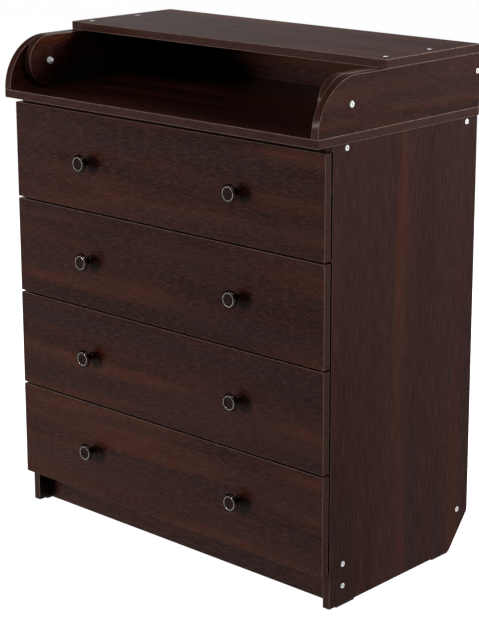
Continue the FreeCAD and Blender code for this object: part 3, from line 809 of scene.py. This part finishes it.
@dataclass
class Knob:
    """One turned knob: dark bronze with a polished ring set in its face.

    Distances along the axis count from the drawer front, and a setback from the face.
    """

    place: Vector
    radius: float
    reach: float
    bronze: bpy.types.Material
    ring: bpy.types.Material
    sectors: int = 72

    # Foot: its underside starts at base_middle of its radius, and the bead of its edge starts
    # base_turn degrees behind the outward direction.
    base_radius: float = 0.0090
    base_height: float = 0.0020
    base_bead: float = 0.0006
    base_turn: float = 60.0
    base_middle: float = 0.5
    base_steps: tuple[int, int] = (4, 5)

    # Neck, and the flare from it to the rim, whose bead starts rim_turn degrees behind.
    neck_radius: float = 0.0064
    neck_fillet: float = 0.0012
    neck_height: float = 0.0095
    fillet_steps: int = 6
    flare_lean: float = 2.2
    flare_steps: int = 16
    rim_setback: float = 0.0045
    rim_bead: float = 0.0009
    rim_turn: float = 70.0
    rim_steps: int = 6
    shoulder_steps: int = 12

    # Ring and its seat: how far the ring stands up from the seat and sinks into it.
    ring_radius: float = 0.0129
    ring_width: float = 0.0008
    ring_seat: float = 0.0006
    ring_root: float = 0.0003
    ring_steps: int = 24
    seat_bevel: float = 0.0002

    # Face inside the ring: its depth, its crown, and the share left to the vertex on the axis.
    dish: float = 0.0010
    dish_crown: float = 0.0003
    dish_middle: float = 0.08
    dish_steps: int = 10

    def foot_and_neck(self) -> list[np.ndarray]:
        """Half section of the foot and the neck.

        A flat underside, a foot whose edge is two arcs of its bead, and a hollow quarter arc
        that leads from the foot to the neck.

        Returns:
            Stretches of the profile, from the middle of the base outward and forward.
        """
        edge = self.base_radius - self.base_bead
        steps_behind, steps_before = self.base_steps
        return [
            np.array([[self.base_radius * self.base_middle, 0.0], [edge, 0.0]]),
            arc((edge, self.base_bead), self.base_bead, OUTWARD - self.base_turn, OUTWARD,
                steps_behind),
            arc((edge, self.base_height - self.base_bead), self.base_bead, OUTWARD, FORWARD,
                steps_before),
            arc((self.neck_radius + self.neck_fillet, self.base_height + self.neck_fillet),
                self.neck_fillet, BACKWARD, INWARD, self.fillet_steps),
        ]

    def flare_and_shoulder(self) -> list[np.ndarray]:
        """Half section of the flare, the rim and the shoulder.

        The flare leans outward to the rim's bead. The shoulder is a quarter of an ellipse: with
        a from 0 to a right angle, its radius falls with 1 - cos a and it rises with sin a.

        Returns:
            Stretches of the profile, from the neck to the ring's seat.
        """
        rim = self.reach - self.rim_setback
        seat = self.reach - self.ring_seat
        bead_centre = self.radius - self.rim_bead
        quarter = np.linspace(0.0, 1.0, self.shoulder_steps) * math.pi / 2
        inward = (self.radius - self.ring_radius) * (1 - np.cos(quarter))
        return [
            sweep((self.neck_radius, self.neck_height), (bead_centre, rim - 2 * self.rim_bead),
                  self.flare_lean, self.flare_steps),
            arc((bead_centre, rim - self.rim_bead), self.rim_bead, OUTWARD - self.rim_turn,
                OUTWARD, self.rim_steps),
            np.column_stack([self.radius - inward, rim + (seat - rim) * np.sin(quarter)]),
        ]

    def seat_and_face(self) -> list[np.ndarray]:
        """Half section of the ring's seat and the dished face.

        With r from 1 at the ring to nearly 0 at the axis, the face lies deeper than the dish by
        the crown times 1 - r squared.

        Returns:
            Stretches of the profile, from the seat to the middle of the face.
        """
        seat = self.reach - self.ring_seat
        inner = self.ring_radius - self.ring_width
        r = np.linspace(1.0, self.dish_middle, self.dish_steps)
        depth = self.dish + self.dish_crown * (1 - r ** 2)
        return [
            np.array([[self.ring_radius, seat], [inner + self.seat_bevel, seat],
                      [inner, seat - self.seat_bevel]]),
            np.column_stack([inner * r, self.reach - depth]),
        ]

    def body_profile(self) -> np.ndarray:
        """Half section of the bronze body, from the middle of its base to that of its face."""
        return np.vstack(self.foot_and_neck() + self.flare_and_shoulder() + self.seat_and_face())

    def ring_profile(self) -> np.ndarray:
        """Closed section of the ring: a half round that stands on its seat.

        The angle runs once round. The section is an ellipse whose upper half is as high as the
        ring stands up, and whose lower half is as deep as its root.

        Returns:
            One row for each point: distance from the axis, distance along it.
        """
        half = self.ring_width / 2
        seat = self.reach - self.ring_seat
        angle = np.linspace(0.0, 2 * math.pi, self.ring_steps, endpoint=False)
        height = np.where(np.sin(angle) > 0, self.ring_seat, self.ring_root) * np.sin(angle)
        return np.column_stack([self.ring_radius - half + half * np.cos(angle), seat + height])

    def build(self, name: str, drawer: int) -> None:
        """Make the body and the ring, and let them ride on their drawer.

        Args:
            name: Name of the body; the ring's adds to it.
            drawer: Number of the drawer.
        """
        for part, profile, closed, material in (
                ("", self.body_profile(), False, self.bronze),
                ("_ring", self.ring_profile(), True, self.ring)):
            vertices, faces = turned(profile, self.sectors, closed)
            piece = make_piece(name + part, vertices + np.array(self.place), faces, material)
            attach(piece, f"drawer_{drawer}")
            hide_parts(f"drawer_{drawer}_knobs")
            log.info("built %s, %d faces", piece.name, len(faces))


@dataclass
class Drawer:
    """One drawer: its boards, runners, rollers, fasteners and two knobs."""

    number: int
    zinc: bpy.types.Material
    epoxy: bpy.types.Material
    nylon: bpy.types.Material
    bottom: bpy.types.Material
    bronze: bpy.types.Material
    ring: bpy.types.Material

    def dress(self) -> None:
        """Give every node of the drawer its finish."""
        name = f"drawer_{self.number}"
        seed = BOX_SEED + BOX_SEED_STEP * self.number
        laminate(f"{name}_front", Cut(Axis.X, Axis.Y, FRONT_SEEDS[self.number]))
        laminate(f"{name}_back", Cut(Axis.X, Axis.Y, seed + 1))
        laminate(f"{name}_side_left", Cut(Axis.Y, Axis.X, seed + 2))
        laminate(f"{name}_side_right", Cut(Axis.Y, Axis.X, seed + 3))
        dress(f"{name}_bottom", self.bottom)
        dress(f"{name}_runners", self.epoxy)
        dress(f"{name}_rear_rollers", self.nylon)
        dress(f"{name}_fasteners", self.zinc)

    def build_knobs(self) -> None:
        """Two knobs where the frame has them."""
        low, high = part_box(f"drawer_{self.number}_knobs")
        radius = (high.z - low.z) / 2
        for hand, side in HANDS.items():
            place = Vector((side * (high.x - radius), high.y, (low.z + high.z) / 2))
            knob = Knob(place, radius, high.y - low.y, self.bronze, self.ring)
            knob.build(f"drawer_{self.number}_knob_{hand}", self.number)


# ------------------------------------------------------------------ studio


@dataclass(frozen=True)
class Softbox:
    """A rectangular soft light, its power in watts, which shiny surfaces mirror or not."""

    name: str
    place: Point
    target: Point
    width: float
    height: float
    power: float
    mirrored: bool = False

    def build(self) -> None:
        """Hang the light, facing its target."""
        data = bpy.data.lights.new(self.name, "AREA")
        data.shape = "RECTANGLE"
        data.size = self.width
        data.size_y = self.height
        data.energy = self.power
        lamp = bpy.data.objects.new(self.name, data)
        lamp.location = self.place
        away = Vector(self.place) - Vector(self.target)
        lamp.rotation_euler = away.to_track_quat("Z", "Y").to_euler()
        lamp.visible_camera = False
        lamp.visible_glossy = self.mirrored
        bpy.context.scene.collection.objects.link(lamp)
        log.info("hung %s, %.0f W", self.name, self.power)


# The key light from the left gives the fronts their light and the knobs their shadows. The
# one high behind rakes the lid, and the side ones open up the side panels. These big ones
# aren't mirrored, because they would glare on the lid and the deck from other sides. The fill
# and the glint are small and are mirrored, for the highlights on knobs and screws.
LIGHTS = (
    Softbox("key_light", (-3.4, -4.7, 1.15), (0.0, 0.0, 0.5), 1.5, 2.1, 464.0),
    Softbox("fill_light", (0.2, -3.0, 3.4), (0.0, 0.0, 0.5), 1.0, 0.9, 54.0, mirrored=True),
    Softbox("glint_light", (-2.3, -3.3, 1.7), (0.4, -0.2, 0.9), 0.40, 0.30, 12.0, mirrored=True),
    Softbox("right_light", (2.5, 0.8, 1.45), (0.4, 0.0, 0.6), 0.9, 0.9, 76.0),
    Softbox("left_light", (-2.5, 0.8, 1.45), (-0.4, 0.0, 0.6), 0.9, 0.9, 76.0),
    Softbox("rear_light", (0.9, 2.4, 2.4), (0.0, 0.1, 0.9), 1.6, 0.8, 285.0),
)


@dataclass(frozen=True)
class Studio:
    """Pale floor, even surroundings, soft lights and the camera."""

    # Floor: half its side, and its finish.
    floor_half: float = 40.0
    floor_colour: Colour = (0.20, 0.20, 0.20)
    floor_cloud: Mottle = Mottle(0.4, (0.0, 0.0, 0.0), 2.0, 0.5)
    floor_cloud_share: float = 0.1
    floor_roughness: float = 0.9
    floor_glow: float = 0.97

    # Strength of the surroundings above and below the horizon. Directions are given by their
    # X, Y or Z: behind starts and is whole at these Y, and the ground fades there.
    sky: float = 0.09
    ground: float = 0.65
    ground_fade: float = 0.4
    skyline: Span = (-0.1, 0.1)
    behind: Span = (0.2, 0.7)

    # Bright band along the horizon behind: its height, and its strength in the middle and
    # what the left and the right add to it.
    band_height: Span = (0.35, 0.0)
    band_glow: float = 0.55
    band_middle: float = 0.2
    band_left: Span = (-0.5, -0.8)
    band_left_more: float = 0.9
    band_right: Span = (0.3, 0.7)
    band_right_more: float = 1.9

    # Share of all this that matt surfaces gather; shiny ones mirror the whole.
    unmirrored: float = 0.5

    # Camera: place, angles in degrees, and the photograph's height, focal length and the
    # place of its optical axis from the middle, in pixels. The sensor's side is in mm.
    camera_place: Point = (2.3616, -2.5220, 1.4387)
    camera_yaw: float = 42.2025
    camera_pitch: float = -13.5936
    frame_height: float = 630.0
    focal_length: float = 1840.9
    principal_right: float = 24.8
    principal_down: float = -83.0
    sensor: float = 36.0

    def build_floor(self) -> None:
        """A plain pale floor that glows, as one lit evenly from all round.

        Only the camera sees it: the dresser gathers and mirrors the dimmer surroundings, so
        the white doesn't wash out the dark laminate and the knobs' shadows.
        """
        graph = Graph.for_material("studio_floor")
        cloud = self.floor_cloud.on(graph) * self.floor_cloud_share
        colour = graph.mix(cloud, self.floor_colour, WHITE)
        material = graph.finish(colour, self.floor_roughness, Emission_Color=opaque(WHITE),
                                Emission_Strength=self.floor_glow, Specular_IOR_Level=0.0)
        half = self.floor_half
        corners = np.array([[-half, -half, 0.0], [half, -half, 0.0],
                            [half, half, 0.0], [-half, half, 0.0]])
        floor = make_piece("studio_floor", corners, [[0, 1, 2, 3]], material)
        floor.visible_diffuse = False
        floor.visible_glossy = False

    def build_surroundings(self) -> None:
        """White to the eye, and dim to what the dresser mirrors and gathers.

        The dim part has a dark sky over a lighter ground, which fades behind the dresser. A
        bright band lies along the horizon there, brighter to the left and brightest to the
        right, which the lid and the side panels mirror.
        """
        graph = Graph(bpy.data.worlds.new("studio"))
        bpy.context.scene.world = graph.owner
        direction = graph.node("ShaderNodeTexCoord", {}, {}, "Generated")
        across, back, height = (
            graph.node("ShaderNodeSeparateXYZ", {}, {0: direction}, axis.name) for axis in Axis)
        behind = back.rise(*self.behind)
        ground = self.ground * (1.0 - behind * self.ground_fade)
        plain = ground + height.rise(*self.skyline) * (self.sky - ground)
        left = across.rise(*self.band_left) * self.band_left_more
        right = across.rise(*self.band_right) * self.band_right_more
        glow = self.band_glow * (self.band_middle + left + right)
        dim = plain + behind * abs(height).rise(*self.band_height) * glow
        mirrored = graph.node("ShaderNodeLightPath", {}, {}, "Is Glossy Ray")
        dim = dim * (self.unmirrored + mirrored * (1.0 - self.unmirrored))
        seen = graph.node("ShaderNodeLightPath", {}, {}, "Is Camera Ray")
        strength = dim + seen * (1.0 - dim)
        sky = graph.node("ShaderNodeBackground", {}, {"Strength": strength})
        graph.close("ShaderNodeOutputWorld", sky)

    def place_camera(self) -> None:
        """The camera as it stood for the photograph, with its lens shift.

        The frame is upright, so the sensor's side spans its height. Focal length and shift are
        the photograph's, taken from pixels to shares of that height.
        """
        data = bpy.data.cameras.new("camera")
        data.sensor_width = self.sensor
        data.lens = self.sensor * self.focal_length / self.frame_height
        data.shift_x = -self.principal_right / self.frame_height
        data.shift_y = self.principal_down / self.frame_height
        camera = bpy.data.objects.new("camera", data)
        camera.location = self.camera_place
        camera.rotation_euler = (math.radians(90.0 + self.camera_pitch), 0.0,
                                 math.radians(self.camera_yaw))
        bpy.context.scene.collection.objects.link(camera)
        bpy.context.scene.camera = camera

    def build(self) -> None:
        """Set up the whole studio."""
        bpy.context.scene.view_settings.view_transform = "Standard"
        self.build_floor()
        self.build_surroundings()
        for light in LIGHTS:
            light.build()
        self.place_camera()


def main() -> None:
    """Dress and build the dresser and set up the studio."""
    logging.basicConfig(level=logging.INFO, format="%(name)s: %(message)s")
    zinc = ZINC.material("zinc_plate")
    epoxy = EPOXY.material("epoxy_coat")
    nylon = NYLON.material("nylon")
    bottom = FIBREBOARD.material("drawer_bottom_face")
    bronze = BRONZE.material("dark_bronze")
    ring = RING.material("polished_ring")
    Carcass(zinc, epoxy, nylon).dress()
    Lid(zinc).dress()
    for number in DRAWERS:
        drawer = Drawer(number, zinc, epoxy, nylon, bottom, bronze, ring)
        drawer.dress()
        drawer.build_knobs()
    Studio().build()


if __name__ == "__main__":
    main()
